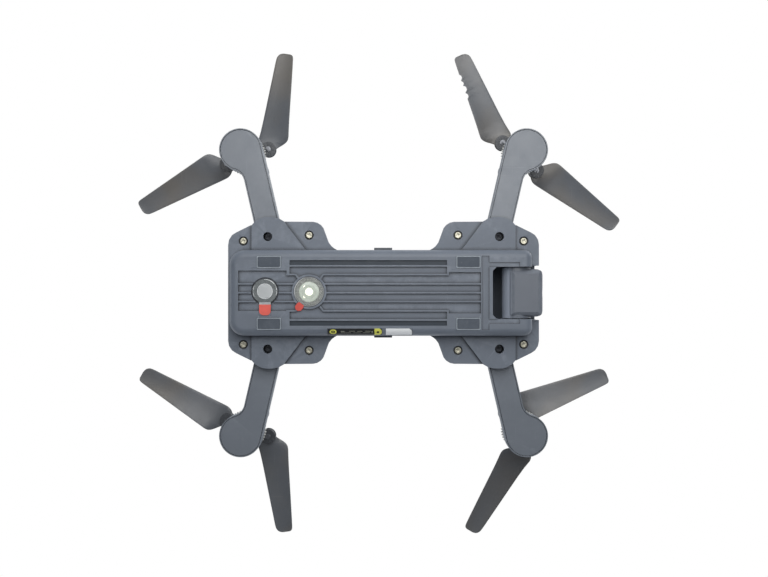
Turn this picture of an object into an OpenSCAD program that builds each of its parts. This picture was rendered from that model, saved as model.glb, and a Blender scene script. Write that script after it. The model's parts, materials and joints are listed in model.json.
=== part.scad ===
// Foldable palm-size quadcopter, resting on its belly.
// Frame: +Z up, nose towards -Y, the aircraft's left is +X, z = 0 is the belly plane;
// the pads stand 0.3 below it.
// The origin is the point of the belly plane midway between the four arm pivots.

/* [Body] */
// Half width of the belly shell
belly_hw = 18.6; // [18.5:0.1:18.7]
// Rear end of the belly shell
belly_y1 = 66.8; // [66.4:0.1:67.2]
// Front end of the camera fork
fork_y0 = -64.4; // [-64.8:0.1:-64.0]
// Radius of the rounded lower edge of the belly
belly_edge_r = 3.4; // [3.0:0.1:3.4]
// Depth of the channels between the belly ribs
channel_d = 0.8; // [0.5:0.1:1.0]
// Height of the wing plates' lower face above the belly plane
wing_z = 9.6; // [9.4:0.1:9.8]
// Reach of the wing plates fore and aft of the origin
wing_y = 68.5; // [68.0:0.1:69.0]

/* [Pivots] */
// Distance of an arm pivot from the centre plane
pivot_x = 24.7; // [24.7:0.1:24.9]
// Distance of an arm pivot fore or aft of the origin
pivot_y = 50.9; // [50.7:0.1:51.1]
// Radius of the raised plate's rounded side around a pivot
boss_r = 8.6; // [8.4:0.1:8.6]
// Radius of the screw well in the boss
well_r = 2.0; // [2.0:0.05:2.1]

/* [Arms] */
// Angle of a spread arm from the crossways direction
arm_deg = 13; // [12:0.5:14]
// Distance of the rotor axis from the pivot along the arm
pod_u = 40.8; // [40.6:0.1:41.0]
// Sideways offset of the rotor axis from the pivot line
pod_v = 3.65; // [3.6:0.05:3.7]
// Radius of the round pod
pod_r = 9.5; // [9.4:0.1:9.6]
// Inner straight edge of the arm, from the pivot line
arm_in = 5.85; // [5.8:0.05:5.85]
// Outer edge of the arm, from the pivot line
arm_out = 5.1; // [4.9:0.1:5.2]
// Fillet between the arm's outer edge and the pod
pod_fillet = 6; // [4:0.5:7]
// Lower face of the arms and pods
arm_z = 13.0; // [13.0:0.05:13.1]
// Upper face of the arm roots
arm_top = 18.6; // [18.4:0.1:18.6]

/* [Gears] */
// Gear module
gear_m = 0.4; // [0.4]
// Teeth of the large gear on the rotor spindle
gear_n = 44; // [44]
// Teeth of the motor pinion
pinion_n = 10; // [10]
// Direction of the motor from the rotor axis, in the arm's frame
motor_deg = 206; // [205:1:207]

/* [Rotors] */
// Distance of a blade's hinge pin from the rotor axis
pin_r = 10.2; // [10.2:0.1:10.6]
// Length of a blade from its pin to its tip
blade_len = 45.8; // [44.4:0.2:46]
// Height of the blade plane
blade_z = 35.4; // [35.3:0.1:35.6]
// Pitch angle of a blade
pitch = 9; // [7:1:10]
// Thickness of a blade
blade_t = 0.9; // [0.7:0.1:1.1]

/* [Hidden] */
$fn = 48;
eps = 0.01;
SLATE = "#5b626c";
DARK = "#3a3f47";
GEAR_WHITE = "#e8e4d6";
// parting between belly shell and mid frame, and the deck's top
part_z = 11.2;
deck_z = 12.8;
// top shell: its shoulders over the arm roots, and its level top
shoulder_z = 18.8;
top_z = 20.2;
// hollow inside the belly, half width
hollow_hw = 17.1;
// short screws of one quarter
screw_at = [[22.8, 61.8], [25.4, 32.8]];
// centres of the belly camera and the lamp; axis of the tilting camera
cam_at = [-0.7, 51.0];
lamp_at = [-0.5, 32.05];
tilt_y = -58.3;
tilt_z = 8.5;
// motor axis in the arm's frame
centre_d = gear_m * (gear_n + pinion_n) / 2;
motor_u = pod_u + centre_d * cos(motor_deg);
motor_v = pod_v + centre_d * sin(motor_deg);

// ---------- helpers ----------
module disc(z, radius, height) { translate([0, 0, z]) cylinder(r = radius, h = height); }
module cone(z, low_r, high_r, height) {
  translate([0, 0, z]) cylinder(r1 = low_r, r2 = high_r, h = height);
}
module slab(z, height) { translate([0, 0, z]) linear_extrude(height = height) children(); }
// side: 1 left, -1 right; end: 1 rear, -1 front; children are drawn for the rear left corner
module corner(side, end) {
  mirror([side < 0 ? 1 : 0, 0, 0]) mirror([0, end < 0 ? 1 : 0, 0]) children();
}
module corners() { for (side = [1, -1], end = [1, -1]) corner(side, end) children(); }
module at_pivot() { translate([pivot_x, pivot_y, 0]) children(); }
// the arm's own frame: pivot at the origin, x along the arm
module arm_frame(side, end) { corner(side, end) at_pivot() rotate(arm_deg) children(); }
module at_pod() { translate([pod_u, pod_v, 0]) children(); }
module at_motor() { translate([motor_u, motor_v, 0]) children(); }
// box with rounded upright edges
module rbox(x0, x1, y0, y1, z0, z1, radius) {
  slab(z0, z1 - z0) {
    translate([x0 + radius, y0]) square([x1 - x0 - 2 * radius, y1 - y0]);
    translate([x0, y0 + radius]) square([x1 - x0, y1 - y0 - 2 * radius]);
    for (x = [x0 + radius, x1 - radius], y = [y0 + radius, y1 - radius])
      translate([x, y]) circle(radius);
  }
}
// outline with its own corner radius at each end
module pan_outline(half_w, y0, y1, front_r, rear_r) {
  translate([-half_w, y0 + front_r]) square([2 * half_w, y1 - y0 - front_r - rear_r]);
  translate([-half_w + front_r, y0]) square([2 * half_w - 2 * front_r, front_r + eps]);
  translate([-half_w + rear_r, y1 - rear_r - eps])
    square([2 * half_w - 2 * rear_r, rear_r + eps]);
  for (s = [-1, 1]) {
    translate([s * (half_w - front_r), y0 + front_r]) circle(front_r);
    translate([s * (half_w - rear_r), y1 - rear_r]) circle(rear_r);
  }
}
// what a rounded lower edge takes off a wall that stands at wall_x
module edge_profile(wall_x, edge_r) {
  difference() {
    translate([wall_x - edge_r, -1]) square([edge_r + 1, edge_r + 1]);
    translate([wall_x - edge_r, edge_r]) circle(edge_r);
  }
}
// upright block with a rounded lower edge
module pan(half_w, y0, y1, front_r, rear_r, edge_r, height) {
  front_x = half_w - front_r;
  rear_x = half_w - rear_r;
  difference() {
    linear_extrude(height = height) pan_outline(half_w, y0, y1, front_r, rear_r);
    for (s = [0, 1]) mirror([s, 0, 0]) {
      translate([0, y1 - rear_r, 0]) rotate([90, 0, 0])
        linear_extrude(height = y1 - rear_r - y0 - front_r) edge_profile(half_w, edge_r);
      translate([rear_x, y1 - rear_r, 0])
        rotate_extrude(angle = 90) edge_profile(rear_r, edge_r);
      translate([front_x, y0 + front_r, 0]) rotate([0, 0, -90])
        rotate_extrude(angle = 90) edge_profile(front_r, edge_r);
    }
    translate([-rear_x, 0, 0]) rotate([90, 0, 90])
      linear_extrude(height = 2 * rear_x) edge_profile(y1, edge_r);
    translate([-front_x, 0, 0]) rotate([90, 0, 90])
      linear_extrude(height = 2 * front_x) mirror([1, 0]) edge_profile(-y0, edge_r);
  }
}

// ---------- wing plates ----------
// rear left wing plate, [x, y], from its inner root round to the body's end
WING_EDGE = [
  [16, 18], [18.6, 19.9], [19.5, 21.6], [20.6, 23.0], [22.3, 24.3], [25.0, 25.3], [28.6, 26.6],
  [29.9, 27.6], [30.9, 29.2], [31.3, 31.0], [31.4, 44], [30.6, 52], [29.8, 58.5], [26.6, 65],
  [25.4, 66.8], [23.4, 68.1], [21.2, wing_y], [12, wing_y], [12, 66], [16, 62]];
// slanting and straight sides of the raised plate around a pivot, [x, y]
BOSS_EDGE = [
  [17.0, 58.0], [17.0, 33.4], [19.2, 34.5], [31.5, 43.9], [32.6, 45.8], [33.2, 48.2],
  [pivot_x + boss_r, pivot_y], [28.5, 58.0]];

module boss_outline() {
  intersection() {
    union() {
      translate([pivot_x, pivot_y]) circle(r = boss_r);
      polygon(BOSS_EDGE);
    }
    translate([17.0, 30]) square([20, 28]);
  }
}
// all four wing plates with the bridge across the tail
module wings_outline() {
  corners() {
    polygon(WING_EDGE);
    boss_outline();
  }
  translate([-13, 60]) square([26, wing_y - 60]);
}

// ---------- belly ----------
rib_w = 0.74;
rib_pitch = 3.8;
// the ribs lie a little right of the centre plane
rib_shift = -0.1;
side_rib_x = 7.8;
// foot pads: distance from the centre plane, places along y, size
pad_x = 13.3;
pad_ys = [49.3, -36.5];
pad_l = 9.3;
pad_w = 4.1;
// the two side labels, [front y, rear y], and the play of their common seat
LABEL_YS = [[-12.3, -0.9], [0.7, 24.1]];
label_play = 0.2;

// channels sunk between the ribs
module channels_outline() {
  difference() {
    union() {
      translate([-11.3, -27.3]) square([22.5, 67.7]);
      translate([-7.5, -41.9]) square([14.9, 104.4]);
      translate([-8.9, -41.9]) square([17.7, 13.8]);
      translate([-9.6, 41.7]) square([17.3, 20.8]);
    }
    // long ribs
    for (i = [-1 : 1])
      translate([i * rib_pitch + rib_shift - rib_w / 2, -50]) square([rib_w, 120]);
    // ribs on either side, which bend in to the lamp
    for (s = [-1, 1]) {
      outer_x = s * (side_rib_x + rib_w / 2) + rib_shift;
      inner_x = s * (side_rib_x - rib_w / 2) + rib_shift;
      left_x = s * side_rib_x + rib_shift - rib_w / 2;
      translate([left_x, -28.1]) square([rib_w, 54.3]);
      translate([left_x, 37.5]) square([rib_w, 4.4]);
      polygon([[outer_x, 26.1], [inner_x, 25.8], [s * 5.6, 27.0], [s * 6.0, 27.7]]);
      polygon([[outer_x, 37.6], [inner_x, 37.9], [s * 5.8, 36.9], [s * 6.2, 36.2]]);
    }
    // land around the lamp
    translate(lamp_at) circle(r = 7.5);
  }
  // outer channels
  for (s = [-1, 1]) translate([s * 13.05 - 1.05, -27.3]) square([2.1, 67.7]);
}
// boxes at the four foot pads, larger than a pad by grow all round
module pad_boxes(grow, z0, z1, radius) {
  half_w = pad_w / 2 + grow;
  half_l = pad_l / 2 + grow;
  for (s = [-1, 1], y = pad_ys)
    rbox(s * pad_x - half_w, s * pad_x + half_w, y - half_l, y + half_l, z0, z1, radius);
}
// cross-section of a band around the left rounded edge
module label_band(inner_r, outer_r) {
  translate([belly_hw - belly_edge_r, belly_edge_r]) difference() {
    intersection() {
      circle(outer_r);
      polygon([[0.1, 0], [0.1, -6], [6, -6], [6, -2.2]]);
    }
    circle(inner_r);
  }
}
module label_run(y0, y1) {
  translate([0, y1, 0]) rotate([90, 0, 0]) linear_extrude(height = y1 - y0) children();
}
// places the slanting tab of the lamp's film
module at_lamp_tab() { translate([6.0, 36.3, 0]) rotate(38) children(); }

module belly_solids() {
  difference() {
    pan(belly_hw, fork_y0, belly_y1, 3.5, 6.5, belly_edge_r, part_z);
    // hollow inside
    rbox(-hollow_hw, hollow_hw, -44.6, 65.2, 2.0, part_z + 1, 4);
  }
  slab(wing_z, part_z - wing_z) difference() {
    wings_outline();
    translate([-hollow_hw, -60]) square([2 * hollow_hw, 118]);
  }
  // raised plates around the pivots
  corners() slab(wing_z - 1.5, 1.5) intersection() {
    boss_outline();
    translate([belly_hw - 0.4, 30]) square([20, 30]);
  }
  // proud rims around the pad pockets
  pad_boxes(0.5, -0.2, 0.5, 0.9);
  // pillars around the belly camera and the lamp
  translate(cam_at) disc(1.5, 7.0, 6.5);
  translate(lamp_at) disc(1.5, 7.6, 5.5);
}
module belly_shell() {
  color(SLATE) difference() {
    belly_solids();
    // fork opening with eased inner corners
    slab(-1, part_z + 2) polygon([[-11.3, -70], [-11.3, -48.8], [-9.5, -47],
      [9.5, -47], [11.3, -48.8], [11.3, -70]]);
    // trunnion bores of the tilting camera
    for (s = [-1, 1])
      translate([s * 10, tilt_y, tilt_z]) rotate([0, s * 90, 0]) cylinder(r = 2.25, h = 4.4);
    slab(-1, 1 + channel_d) channels_outline();
    // pad pockets
    pad_boxes(0.05, -1, 1.4, 0.5);
    // shallow step across the root of the fork and down its inner sides
    slab(-1, 1.4) {
      translate([-16, -45.5]) square([32, 3.2]);
      for (s = [-1, 1]) translate([s * 12.2 - 1.0, -58.7]) square([2.0, 13.3]);
    }
    // stepped wells of the belly camera and the lamp
    translate(cam_at) {
      disc(-1, 6.0, 2.2);
      disc(-1, 4.35, 12);
    }
    translate(lamp_at) {
      disc(-1, 6.6, 2.0);
      disc(-1, 4.65, 12);
    }
    // shallow seats of the film tabs and labels
    rbox(cam_at[0], 9.9, cam_at[1] - 2.7, cam_at[1] + 2.7, -1, 0.14, 0.3);
    at_lamp_tab() translate([-2.6, -1.9, -1]) cube([5.0, 3.8, 1.14]);
    label_run(LABEL_YS[0][0] - label_play, LABEL_YS[1][1] + label_play) label_band(3.26, 3.9);
    // pivot wells and screw holes
    corners() {
      at_pivot() cylinder(r = well_r, h = 20);
      for (place = screw_at) translate(place) {
        cylinder(r = 2.05, h = wing_z + 0.7);
        cylinder(r = 0.65, h = 20);
      }
    }
  }
}
// two strips on the left lower edge
module side_labels() {
  color("#1c1d20") for (run = LABEL_YS) label_run(run[0], run[1]) label_band(3.28, 3.38);
}
module foot_pads() { color("#4b525c") pad_boxes(0, -0.3, 1.35, 0.45); }

// ---------- belly camera and lamp ----------
// radius of the lamp's light source and of its bore
led_r = 2.1;
led_bore_r = 2.2;
// the films' square tab on the camera, width across
film_tab_w = 5.1;

module belly_camera() {
  color("#2a2d33") translate(cam_at) difference() {
    union() {
      disc(0.32, 5.1, 0.86);
      disc(1.0, 4.3, 8.4);
    }
    // lens seat
    disc(-1, 3.3, 2.0);
    cone(0.9, 3.3, 1.4, 1.6);
  }
}
module lamp_reflector() {
  color("#c9ccc6") translate(lamp_at) difference() {
    union() {
      disc(0.32, 6.0, 0.66);
      disc(0.9, 4.6, 5.6);
    }
    cone(-0.1, 4.7, led_bore_r, 3.8);
    disc(3, led_bore_r, 5);
  }
}
module lamp_led() {
  color("#f4f6dc") translate(lamp_at) {
    disc(3.2, led_r, 4.2);
    // domed lower end
    intersection() {
      translate([0, 0, 3.3]) sphere(r = led_r);
      translate([-3, -3, 0]) cube([6, 6, 3.3]);
    }
  }
}
module protective_films() {
  color("#c5cbd0") {
    translate(cam_at) slab(0.02, 0.12) {
      circle(r = 5.3);
      translate([0, -film_tab_w / 2]) square([5.4, film_tab_w]);
    }
    translate(lamp_at) disc(0.16, 6.1, 0.12);
  }
}
module pull_tabs() {
  color("#e0605a") {
    translate([cam_at[0] + 5.45, cam_at[1] - film_tab_w / 2, 0.02]) cube([5.0, film_tab_w, 0.1]);
    at_lamp_tab() translate([-2.5, -1.75, 0.02]) cube([4.8, 3.5, 0.1]);
  }
}

// ---------- fasteners ----------
// underside of the pivot screws' heads
pivot_head_z = 10.7;

// cross-shaped cutter for a screw head
module cross_slot(z, height, length, width) {
  for (turn = [0, 90])
    rotate(turn) translate([-length / 2, -width / 2, z]) cube([length, width, height]);
}
module shell_screws() {
  color("#dfdccb") corners() for (i = [0, 1]) translate(screw_at[i]) difference() {
    union() {
      cone(wing_z - 0.1, 1.3, 1.6, 0.3);
      disc(wing_z + 0.2, 1.6, 0.48);
      disc(wing_z + 0.6, 0.62, 2.4);
    }
    rotate(20 + 50 * i) cross_slot(wing_z - 1.1, 1.45, 1.9, 0.42);
  }
}
module pivot_screws() {
  color("#55585c") corners() at_pivot() difference() {
    union() {
      disc(pivot_head_z, 1.8, 1.27);
      disc(pivot_head_z + 1.2, 0.8, 5.6);
    }
    rotate(30) cross_slot(pivot_head_z - 1, 1.7, 2.2, 0.5);
  }
}

// ---------- middle deck ----------
module at_board_posts() { for (x = [-12, 12], y = [-30, 26]) translate([x, y, 0]) children(); }
// room for the camera head at the nose
module camera_bay(length, height) { translate([-12, -80, 0]) cube([24, length, height]); }

module mid_frame() {
  color(SLATE) difference() {
    union() {
      slab(part_z, deck_z - part_z) {
        wings_outline();
        pan_outline(belly_hw, -66, 66, 3, 6);
      }
      // posts that hold the main board
      at_board_posts() disc(part_z, 2, 3.3);
    }
    camera_bay(33, 30);
    // opening for the belly camera's and lamp's cables
    rbox(-7, 7, 10, 58, 0, 30, 2);
    corners() {
      at_pivot() {
        cylinder(r = well_r, h = 12);
        cylinder(r = 0.85, h = 20);
      }
      for (place = screw_at) translate(place) cylinder(r = 0.63, h = 20);
    }
    at_board_posts() cylinder(r = 0.7, h = 20);
  }
}

// chips, cable socket and shielding can: [x, y] of the corner, [length x, y, height]
BOARD_PARTS = [
  [[-9, -18], [7, 7, 1.0]], [[3, -22], [9, 6, 1.2]], [[-4, 4], [8, 8, 1.4]],
  [[6, 14], [6, 4, 1.6]], [[-13, 16], [5, 9, 1.3]]];
module main_board() {
  color("#2f6b45") difference() {
    union() {
      rbox(-15.5, 15.5, -36, 36, 14.55, 15.75, 2);
      for (part = BOARD_PARTS) translate([part[0][0], part[0][1], 15.7]) cube(part[1]);
    }
    at_board_posts() cylinder(r = 0.7, h = 20);
  }
}

// ---------- top shell ----------
button_y = -24;
// outline across the body and round a lobe beyond an arm root, rear left quarter, [x, y]
LOBE_EDGE = [
  [0, 57.9], [29.2, 57.9], [28.2, 60.4], [26.4, 64.2], [24.8, 66.4], [22.8, 67.6],
  [20.8, 68.1], [0, 68.1]];

// the nose block that rises ahead of the battery, drawn inset within its faces
module nose_form(inset) {
  hull() {
    translate([-18 + inset, -65 + inset, top_z - 1 - inset])
      cube([36 - 2 * inset, 58.6 - 2 * inset, 1]);
    for (s = [-1, 1]) translate([s * 14.4, -59, 22.6]) sphere(r = 3.4 - inset, $fn = 32);
    for (s = [-1, 1]) translate([s * 14.2, -42, 27.6]) sphere(r = 3.8 - inset, $fn = 32);
    for (s = [-1, 1]) translate([s * 14.2, -6.4 - inset, 27.4]) rotate([90, 0, 0])
      cylinder(r = 4 - inset, h = 6, $fn = 32);
  }
}
module top_solids() {
  // core between the arms, with lobes beyond the arm roots
  slab(deck_z, top_z - deck_z) {
    pan_outline(18.4, -66.5, 66.5, 5, 6);
    corners() polygon(LOBE_EDGE);
  }
  // shoulders over the arm roots
  corners() slab(shoulder_z, top_z - shoulder_z) {
    translate([pivot_x, pivot_y]) circle(r = 7.4);
    polygon([[17, 36], [18.4, 37.4], [23, 43.7], [17, 45]]);
    polygon([[17, 45], [26, 43.6], [32, 52], [29.2, 58], [17, 58.5]]);
  }
  nose_form(0);
  // axle posts in the arm roots
  corners() at_pivot() disc(deck_z, 2.0, 6.4);
}
module top_shell() {
  color(SLATE) difference() {
    top_solids();
    // hollow of the core, hollow of the nose, and the passage between them
    rbox(-17, 17, -44, 56, deck_z - 1, 18.9, 3);
    nose_form(1.5);
    translate([-15, -40, 17]) cube([30, 32, 6]);
    camera_bay(33.5, shoulder_z);
    corners() at_pivot() cylinder(r = 0.82, h = 17.8);
    // power button bore with its lamp holes behind it
    translate([0, button_y, 0]) disc(20, 3.35, 20);
    for (i = [-1.5 : 1 : 1.5]) translate([i * 3, button_y + 8, 0]) disc(20, 0.7, 20);
    // cooling slots in the roof of the nose
    for (i = [0 : 4]) rbox(-6, 6, -33.2 - 2.4 * i, -32 - 2.4 * i, 22, 40, 0.55);
    // charging socket in the rear wall
    rbox(-4.6, 4.6, 60, 80, 14.2, 17.6, 1.2);
  }
}
module power_button() {
  color(DARK) translate([0, button_y, 0]) {
    disc(28.2, 4.4, 0.9);
    difference() {
      disc(29.0, 3.2, 2.9);
      // ring groove in the top
      translate([0, 0, 31.6]) difference() {
        cylinder(r = 2.3, h = 2);
        cylinder(r = 1.9, h = 2);
      }
    }
  }
}

// ---------- battery module ----------
bat_hw = 18.2;
bat_y0 = -5.8;
bat_y1 = 66.2;
bat_z = 20.5;
bat_top = 31.3;

module battery_case() {
  color(SLATE) difference() {
    // rounded along its upper edge
    translate([0, 0, bat_top]) mirror([0, 0, 1])
      pan(bat_hw, bat_y0, bat_y1, 1.2, 6.5, 1.2, bat_top - bat_z);
    rbox(-15.6, 15.6, 2.4, 63.4, bat_z - 1, 29.9, 2);
    // pockets of the two latches
    for (s = [-1, 1]) translate([s * bat_hw - 3.3, bat_y0 + 1.4, 23]) cube([6.6, 9.2, 4.2]);
    // finger grooves in the roof
    for (i = [0 : 5]) rbox(-7, 7, 44 + 2.6 * i, 45.2 + 2.6 * i, bat_top - 0.5, 40, 0.55);
    // contact slots in the front wall
    for (x = [-6 : 4 : 6]) translate([x - 0.6, bat_y0 - 1, 24]) cube([1.2, 3, 3]);
    // side grooves
    for (s = [-1, 1]) translate([s * bat_hw - 0.4, 14, 25.0]) cube([0.8, 44, 0.7]);
  }
}
module battery_cell() { color("#9aa3b0") rbox(-15, 15, 3.2, 62.6, 21.2, 29.4, 1.5); }
module latch_left() {
  color(DARK) difference() {
    union() {
      translate([16.0, bat_y0 + 1.6, 23.2]) cube([1.2, 8.8, 3.8]);
      translate([16.6, bat_y0 + 1.9, 23.4]) cube([3.9, 8.2, 3.4]);
    }
    // grip grooves
    for (i = [0 : 4]) translate([20.2, bat_y0 + 2.8 + 1.5 * i, 24.1]) cube([1, 0.6, 2.0]);
  }
}
module latch_right() { mirror([1, 0, 0]) latch_left(); }

// ---------- tilting camera ----------
lens_z = tilt_z + 0.3;
// camera head seen from the side, [y, z]
HEAD_SIDE = [
  [-56.6, 1.5], [-66.9, 1.5], [-68.5, 2.6], [-69.1, 4.2], [-69.1, 13.6], [-68.4, 15.1],
  [-67.0, 15.7], [-57, 15.7], [-54.9, 13.6], [-54.3, 4.4], [-55.0, 2.5]];
// camera head seen from the front, [x, z]
HEAD_FRONT = [
  [-8.3, 1.5], [8.3, 1.5], [9.7, 2.4], [10.3, 4.0], [10.3, 13.8], [9.6, 15.1],
  [8.6, 15.7], [-8.6, 15.7], [-9.6, 15.1], [-10.3, 13.8], [-10.3, 4.0], [-9.7, 2.4]];

// round bar on the tilt axis
module tilt_bar(radius, half_w) {
  translate([-half_w, tilt_y, tilt_z]) rotate([0, 90, 0]) cylinder(r = radius, h = 2 * half_w);
}
// lens axis from y forwards, along its own +Z
module lens_axis(y) { translate([0, y, lens_z]) rotate([90, 0, 0]) children(); }

module camera_head() {
  color(DARK) difference() {
    union() {
      tilt_bar(6.3, 11);
      // trunnions
      tilt_bar(2.2, 13.6);
      // block with broad eased edges all round
      intersection() {
        rbox(-10.3, 10.3, -69.1, -54.5, 1.5, 15.7, 3.0);
        translate([-12, 0, 0]) rotate([90, 0, 90])
          linear_extrude(height = 24) polygon(HEAD_SIDE);
        translate([0, -50, 0]) rotate([90, 0, 0])
          linear_extrude(height = 22) polygon(HEAD_FRONT);
      }
    }
    // lens seat with a stepped mouth
    lens_axis(-60) cylinder(r = 4.35, h = 12);
    lens_axis(-68.5) cylinder(r = 5.0, h = 4);
  }
}
module camera_lens() {
  color("#15181f") lens_axis(-60.1) {
    // barrel
    difference() {
      cylinder(r = 4.3, h = 8.2);
      disc(7.2, 3.4, 2);
    }
    // domed glass
    intersection() {
      translate([0, 0, 1.9]) sphere(r = 6.2);
      cylinder(r = 3.45, h = 9);
    }
  }
}

// ---------- arms ----------
// inner end of the arm's cover outline, before its inset
cover_u = 7.1;
// cable channel: start along the arm and offset of its side
channel_u = 8;
channel_v = -1.6;

// outline of arm and pod, drawn inset within its edge
module arm_outline(inset) {
  fillet_v = arm_out + pod_fillet;
  fillet_u = pod_u - sqrt(pow(pod_r + pod_fillet, 2) - pow(fillet_v - pod_v, 2));
  circle(r = arm_in - inset);
  polygon([[0, -arm_in + inset], [pod_u, -arm_in + inset],
    [pod_u, arm_out - inset], [0, arm_out - inset]]);
  translate([pod_u, pod_v]) circle(r = pod_r - inset);
  // fillet between the outer edge and the pod
  difference() {
    polygon([[fillet_u, arm_out - inset - eps], [pod_u, pod_v], [fillet_u, fillet_v]]);
    translate([fillet_u, fillet_v]) circle(r = pod_fillet + inset);
  }
}
// the part of that outline which the pivot's plate leaves uncovered
module cover_outline(inset) {
  difference() {
    arm_outline(inset);
    translate([-10, -10]) square([10 + cover_u + inset, 20]);
  }
}
module arm_solids() {
  slab(arm_z, arm_top - arm_z) arm_outline(0);
  at_pod() {
    // pod roof and the turret that carries the spindle
    cone(arm_top - eps, 9.0, 7.4, 1.6);
    cone(arm_top, 5.6, 3.6, 28.6 - arm_top);
    // web between the turret and the motor tube
    rotate(motor_deg) translate([2, -1, arm_top - eps]) cube([centre_d - 4, 2, 8.4]);
  }
  // motor tube
  at_motor() disc(arm_top - eps, 4.15, 27.8 - arm_top);
  // low spine along the arm
  translate([channel_u, channel_v, arm_top - eps]) cube([motor_u - 11, 2.6, 1.2]);
}
module arm_shell(side, end) {
  color(SLATE) arm_frame(side, end) difference() {
    arm_solids();
    // bore on the axle post
    cylinder(r = 2.05, h = 30);
    // seat of the cover plate
    slab(arm_z - 1, 1.95) cover_outline(0.5);
    // hollow of the pod and bore of the spindle's bushes
    at_pod() {
      disc(arm_z - 1, 7.2, 3.9);
      disc(arm_z - 1, 1.6, 30);
    }
    // motor bore, open at the top
    at_motor() disc(14.9, 3.55, 20);
    // cable channel
    translate([channel_u, channel_v, arm_z]) cube([motor_u - channel_u, 3.2, 2.6]);
  }
}
module arm_cover(side, end) {
  color(SLATE) arm_frame(side, end) slab(arm_z, 0.9) cover_outline(0.72);
}
module motor(side, end) {
  can_h = 12.5;
  color("#b9bcc0") arm_frame(side, end) at_motor() translate([0, 0, 14.95]) difference() {
    union() {
      cylinder(r = 3.5, h = can_h);
      disc(can_h - eps, 1.4, 0.5);
    }
    // shaft bore
    disc(6, 0.55, 9);
  }
}
module bushes(side, end) {
  color("#b08d4a") arm_frame(side, end) at_pod()
    for (z = [17.0, 26.5]) translate([0, 0, z]) difference() {
      cylinder(r = 1.58, h = 2.0);
      disc(-1, 0.8, 4);
    }
}

// ---------- gears ----------
pressure_deg = 20;
// how much the teeth are thinned for free running
gear_slack = 0.1;

// involute function of an angle, in degrees
function involute(angle) = (tan(angle) - angle * PI / 180) * 180 / PI;
// half angle of a tooth at a radius; half is its value on the pitch circle
function flank(radius, base_r, half) =
  half + involute(pressure_deg) - (radius <= base_r ? 0 : involute(acos(base_r / radius)));
// gear outline; each involute flank is drawn with three points
module gear_outline(teeth) {
  pitch_r = gear_m * teeth / 2;
  base_r = pitch_r * cos(pressure_deg);
  tip_r = pitch_r + gear_m * 0.95;
  root_r = pitch_r - gear_m * 1.2;
  start_r = max(base_r, root_r + 0.05);
  half = 90 / teeth - gear_slack / pitch_r * 90 / PI;
  // [radius of the point, side of the tooth, radius its flank angle is taken at]
  stations = [
    [root_r, -1, start_r], [start_r, -1, start_r], [pitch_r, -1, pitch_r], [tip_r, -1, tip_r],
    [tip_r, 1, tip_r], [pitch_r, 1, pitch_r], [start_r, 1, start_r], [root_r, 1, start_r]];
  polygon([for (i = [0 : teeth - 1], station = stations)
    let (angle = i * 360 / teeth + station[1] * flank(station[2], base_r, half))
      station[0] * [cos(angle), sin(angle)]]);
}
module pinion(side, end) {
  color(GEAR_WHITE) arm_frame(side, end) at_motor() {
    // turned by half a tooth to mesh
    slab(28.8, 2.6) rotate(motor_deg - 180 + 180 / pinion_n) gear_outline(pinion_n);
    // shaft
    disc(21.2, 0.5, 10.4);
  }
}
module drive_gear(side, end) {
  color(GEAR_WHITE) arm_frame(side, end) at_pod() {
    slab(29.0, 2.2) rotate(motor_deg) difference() {
      gear_outline(gear_n);
      circle(r = 0.7);
      for (turn = [0 : 72 : 288]) rotate(turn) translate([5.6, 0]) circle(r = 1.7);
    }
    // spindle, lower collar and upper boss
    disc(16.4, 0.75, 19.4);
    disc(28.66, 1.5, 0.5);
    disc(31.1, 3.0, 2.3);
  }
}

// ---------- rotors ----------
rotor_x = pivot_x + pod_u * cos(arm_deg) - pod_v * sin(arm_deg);
rotor_y = pivot_y + pod_u * sin(arm_deg) + pod_v * cos(arm_deg);
// a hub's two plates: half of the gap between them, and their thickness
gap = 1.15;
plate_t = 0.8;
low_z = blade_z - gap;
high_z = blade_z + gap;
// per rotor, in the order rear left, front left, rear right, front right:
// direction of pin a, and directions of blades a and b, as the aircraft lies
PIN_DEG = [111.4, 168.5, 70.3, 129.5];
BLADE_DEG = [[119.2, -9.2], [-109.5, 32.1], [62.2, -170.4], [155.3, -54.9]];
// planform of a blade, [x, y]: pin at the origin, tip at +X, leading edge on the +Y side
BLADE_PLAN = [
  [-1.9, 2.6], [-0.6, 3.7], [0.9, 4.9], [2.0, 5.4], [3.2, 5.6], [9, 5.3], [24, 4.55],
  [42.4, 3.63], [43.6, 3.42], [44.6, 2.9], [45.3, 2.1], [45.7, 1.1], [45.8, 0.2],
  [45.8, -2.4], [45.65, -3.2], [45.3, -3.8], [44.6, -4.17], [42, -4.58], [24, -6.68],
  [9, -8.45], [7.6, -8.6], [6.0, -8.45], [4.6, -7.7], [3.2, -6.2], [1.6, -4.3], [0.2, -3.1]];
// length of that planform; only its points beyond stretch_x follow blade_len
plan_len = 45.8;
stretch_x = 10;

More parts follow.
